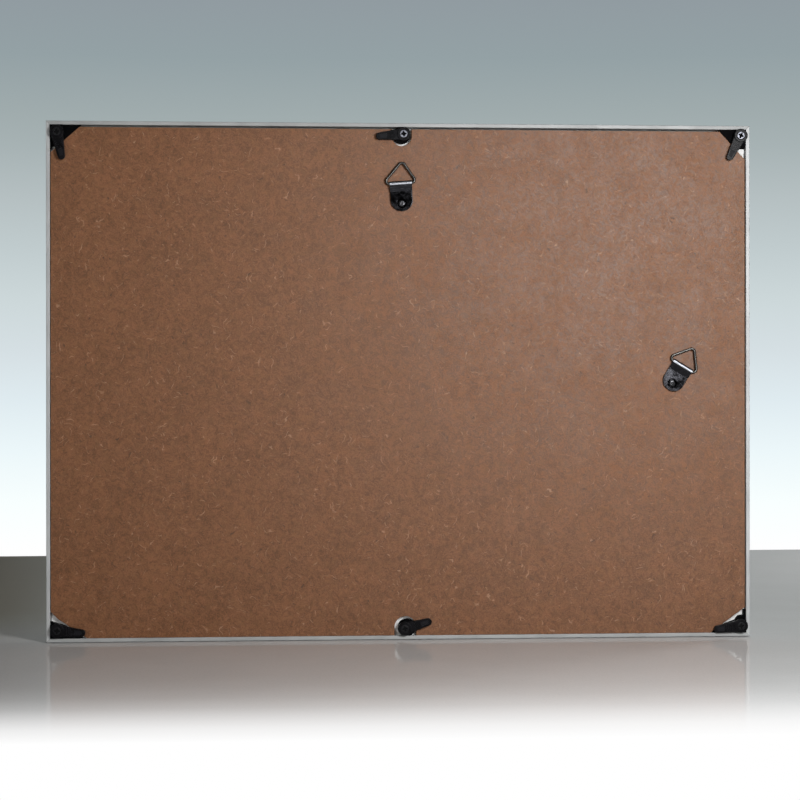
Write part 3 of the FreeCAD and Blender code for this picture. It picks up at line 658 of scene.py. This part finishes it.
def thumb_pad(site):
    """The pad of one turn button, made lying down and then stood up and turned to its arm."""
    mesh = bmesh.new()
    bmesh.ops.create_grid(mesh, x_segments=12, y_segments=6, size=0.5)
    for point in mesh.verts:
        run = point.co.x + 0.5
        point.co.y *= PAD_ROOT + (PAD_TIP - PAD_ROOT) * run
        point.co.x = PAD_START + run * PAD_LENGTH
    bmesh.ops.solidify(mesh, geom=mesh.faces, thickness=PAD_THICKNESS)
    rims = [edge for edge in mesh.edges
            if len(edge.link_faces) == 2 and edge.calc_face_angle() > RIM_ANGLE]
    bmesh.ops.bevel(mesh, geom=rims, offset=PAD_ROUNDING, affect="EDGES", segments=2, profile=0.5,
                    material=-1)
    stand_up = Matrix.Rotation(math.radians(90), 4, "X")
    turn = Matrix.Rotation(math.radians(-BUTTON_TURNS[site]), 4, "Y")
    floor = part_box(f"{site}_turn_button")[1].y - RECESS_FLOOR
    pivot = pivots[f"{site}_button"]
    centre = Vector((pivot.x, floor - PAD_THICKNESS, pivot.z))
    place = Matrix.Translation(centre) @ turn @ stand_up
    bmesh.ops.transform(mesh, matrix=place, verts=mesh.verts)
    new_piece(f"{site}_thumb_pad", mesh, THUMB_BLACK, f"{site}_button")


for site in BUTTON_TURNS:
    thumb_pad(site)


# Table

# Its edges in metres; it lies a hair below the frame, so that a dark line shows under the rail
TABLE_LEVEL = -0.00025
TABLE_SIDE = 3.0
TABLE_NEAR = -3.4
TABLE_FAR_LEFT = 0.525
TABLE_FAR_RIGHT = 0.675

TABLE_DULL = rgb(0.660, 0.654, 0.650)
TABLE_GREY = rgb(0.680, 0.675, 0.672)
TABLE_SPECK = rgb(0.2, 0.2, 0.2)
# The colour of the painted shadow that the frame casts to its left
TABLE_PAINTED_SHADE = rgb(0.50, 0.455, 0.37)
WHITE = rgb(1, 1, 1)

# Where the painted shadow left of the frame sets in and is full, in millimetres along X and Y
PAINTED_SHADE_ALONG_X = (-140.0, -260.0)
PAINTED_SHADE_ALONG_Y = (-20.0, 180.0)

# The table pales between two places along Y, in millimetres: how white at which share of the way
PALING_START = -20.0
PALING_END = -340.0
PALING = ((0.0, 0.0), (0.41, 0.0), (0.52, 0.03), (0.62, 0.10), (0.716, 0.26), (0.80, 0.52),
          (0.89, 0.79), (1.0, 1.0))

# It also pales this far from the frame on all sides, in millimetres
WHITE_AWAY = (820.0, 1700.0)


def table_finish():
    """Polished grey, with a warm painted shadow left of the frame, that pales towards the camera.
    """
    material, tree = empty_material("table_top")
    spot = millimetres(tree)
    axes = axes_of(tree, spot)
    cloud = noise(tree, spot, 60.0, 3.0)
    fine = noise(tree, spot, 1.2, 2.0)
    grey = colour_mix(tree, fade(tree, cloud, 0.3, 0.7), TABLE_DULL, TABLE_GREY)
    grey = colour_mix(tree, fade(tree, fine, 0.4, 0.7, 0.0, 0.08), grey, TABLE_SPECK)
    # Painted shadow: the table is made darker and warmer left of and behind the frame
    painted_shade = calc(tree, "MULTIPLY", fade(tree, axes["X"], *PAINTED_SHADE_ALONG_X),
                    fade(tree, axes["Y"], *PAINTED_SHADE_ALONG_Y))
    grey = colour_mix(tree, painted_shade, grey, TABLE_PAINTED_SHADE)
    ripple = add(tree, "ShaderNodeBump", inputs={
        "Height": cloud, "Distance": 0.4 * MM, "Strength": 0.3})
    matt = add(tree, "ShaderNodeBsdfDiffuse", inputs={"Color": grey})
    mirror = add(tree, "ShaderNodeBsdfGlossy", inputs={
        "Color": WHITE, "Roughness": 0.07, "Normal": ripple.outputs["Normal"]})
    polished = blend_shaders(tree, 0.25, matt.outputs["BSDF"], mirror.outputs["BSDF"])

    rays = add(tree, "ShaderNodeLightPath").outputs
    seen = calc(tree, "MAXIMUM", rays["Is Camera Ray"],
                calc(tree, "MAXIMUM", rays["Is Glossy Ray"], rays["Is Transmission Ray"]))
    way = add(tree, "ShaderNodeMapRange", inputs={
        "Value": axes["Y"], "From Min": PALING_START, "From Max": PALING_END})
    greys = [(place, (level, level, level)) for place, level in PALING]
    paleness = colour_ramp(tree, way.outputs["Result"], greys)
    from_frame = vector_calc(tree, "LENGTH", spot)["Value"]
    whiteness = calc(tree, "MAXIMUM", paleness, fade(tree, from_frame, *WHITE_AWAY))
    pale = calc(tree, "MULTIPLY", whiteness, seen)
    white = add(tree, "ShaderNodeEmission", inputs={"Color": WHITE, "Strength": 1.0})
    shown = blend_shaders(tree, pale, polished, white.outputs["Emission"])
    output = add(tree, "ShaderNodeOutputMaterial")
    tree.links.new(shown, output.inputs["Surface"])
    return material


def table_top():
    """The table, one flat face."""
    mesh = bmesh.new()
    bmesh.ops.create_grid(mesh, x_segments=1, y_segments=1, size=1.0)
    for point in mesh.verts:
        on_left = point.co.x < 0
        far = TABLE_FAR_LEFT if on_left else TABLE_FAR_RIGHT
        x = -TABLE_SIDE if on_left else TABLE_SIDE
        y = TABLE_NEAR if point.co.y < 0 else far
        point.co = Vector((x, y, TABLE_LEVEL))
    table = new_object("table_top", mesh, table_finish())
    return table


# World, light and camera

# The backdrop's gradient, from white at its foot to blue-grey at its top
BACKDROP_FOOT = -0.08
BACKDROP_TOP = 0.20
BACKDROP = (
    (0.0, (1.0, 1.0, 1.0)), (0.08, (0.94, 1.0, 1.0)),
    (0.168, (0.84, 0.93, 0.955)), (0.255, (0.74, 0.83, 0.87)),
    (0.341, (0.665, 0.737, 0.768)), (0.428, (0.604, 0.679, 0.694)),
    (0.515, (0.527, 0.597, 0.612)), (0.600, (0.462, 0.521, 0.533)),
    (0.685, (0.386, 0.445, 0.454)), (0.740, (0.352, 0.410, 0.418)),
    (0.84, (0.296, 0.356, 0.376)), (0.94, (0.283, 0.328, 0.356)),
    (1.0, (0.28, 0.32, 0.35)))

BLACK = rgb(0, 0, 0)
ROOM_WHITE = rgb(1.0, 0.99, 0.97)
ROOM_SHADE = rgb(0.055, 0.050, 0.042)
GLOW_STRENGTH = 2.8


def studio_world():
    """A pale backdrop, white at the table and blue-grey above, and a plain soft room light."""
    world = bpy.data.worlds.new("studio")
    bpy.context.scene.world = world
    world.use_nodes = True
    tree = world.node_tree
    tree.nodes.clear()
    axes = axes_of(tree, add(tree, "ShaderNodeTexCoord").outputs["Generated"])
    height = add(tree, "ShaderNodeMapRange", inputs={
        "Value": axes["Z"], "From Min": BACKDROP_FOOT, "From Max": BACKDROP_TOP})
    backdrop = colour_ramp(tree, height.outputs["Result"], BACKDROP)

    # What shiny things show: the backdrop behind the frame, and the dim room before it
    behind = fade(tree, axes["Y"], -0.15, 0.15)
    window_side = fade(tree, axes["X"], -0.1, 0.9, 0.035, 0.25)
    overhead = fade(tree, axes["Z"], 0.25, 0.55, 0.0, 0.35)
    dim = colour_mix(tree, calc(tree, "ADD", window_side, overhead), BLACK, ROOM_WHITE)
    dark_left = fade(tree, axes["X"], -0.15, -0.03, 0.10, 1.0)
    glossy = colour_mix(tree, behind, dim, colour_mix(tree, dark_left, BLACK, backdrop))

    # What lights matt things: the room's shade, and a low glow from behind the frame
    low = fade(tree, axes["Z"], 0.26, 0.10)
    glow = calc(tree, "MULTIPLY", calc(tree, "MULTIPLY", behind, low), GLOW_STRENGTH)
    plain = colour_mix(tree, 1.0, ROOM_SHADE, glow, "ADD")

    rays = add(tree, "ShaderNodeLightPath").outputs
    seen = calc(tree, "MAXIMUM", rays["Is Camera Ray"], rays["Is Transmission Ray"])
    colour = colour_mix(tree, rays["Is Glossy Ray"], plain, glossy)
    colour = colour_mix(tree, seen, colour, backdrop)
    background = add(tree, "ShaderNodeBackground", inputs={"Color": colour, "Strength": 1.0})
    output = add(tree, "ShaderNodeOutputWorld")
    tree.links.new(background.outputs["Background"], output.inputs["Surface"])


def soft_lamp(name, place, target, size, power, mirrored=False, table=None, table_only=False):
    """A round lamp that the camera doesn't see; shiny things show it only if it is mirrored.

    Given the table, it lights all but the table, or the table alone.
    """
    lamp = bpy.data.lights.new(name, "AREA")
    lamp.shape = "DISK"
    lamp.size = size
    lamp.energy = power
    holder = bpy.data.objects.new(name, lamp)
    bpy.context.scene.collection.objects.link(holder)
    holder.visible_camera = False
    holder.visible_transmission = False
    holder.visible_glossy = mirrored
    if table is not None:
        lit = bpy.data.collections.new(f"{name} reach")
        lit.objects.link(table)
        link_state = "INCLUDE" if table_only else "EXCLUDE"
        lit.collection_objects[0].light_linking.link_state = link_state
        holder.light_linking.receiver_collection = lit
    direction = Vector(place) - Vector(target)
    aim = direction.to_track_quat("Z", "Y").to_matrix().to_4x4()
    holder.matrix_world = Matrix.Translation(place) @ aim


def photo_camera():
    """The photograph's view: from a little left of square on, at mid height."""
    camera = bpy.data.objects.new("camera", bpy.data.cameras.new("camera"))
    camera.data.lens = 92.7
    camera.data.sensor_width = 36.0
    camera.data.shift_y = -0.0225
    bpy.context.scene.collection.objects.link(camera)
    right = Vector((0.997624, -0.068895, -0.000743))
    up = Vector((0.000741, -0.000051, 1.0))
    back = right.cross(up)
    turn = Matrix((right, up, back)).transposed().to_4x4()
    camera.matrix_world = Matrix.Translation((-0.08368, -1.20057, 0.14959)) @ turn
    bpy.context.scene.camera = camera


table = table_top()
studio_world()

# The key lamp shines on all but the table; its twin lights the table alone, unmirrored
KEY_PLACE = (0.24, -0.60, 0.29)
KEY_TARGET = (0.06, 0.0, 0.16)
KEY_SIZE = 0.20
soft_lamp("key_lamp", KEY_PLACE, KEY_TARGET, KEY_SIZE, power=3.2, mirrored=True, table=table)
soft_lamp("key_lamp_on_table", KEY_PLACE, KEY_TARGET, KEY_SIZE, power=3.35,
          table=table, table_only=True)
soft_lamp("table_lamp", (0.75, 0.50, 0.38), (0.38, 0.20, 0.0), size=0.3, power=1.8)
soft_lamp("fill_lamp", (-0.42, -1.00, 0.08), (-0.14, 0.0, 0.06), size=0.4, power=2.1)
photo_camera()
bpy.context.scene.view_settings.view_transform = "Standard"

bpy.context.view_layer.update()
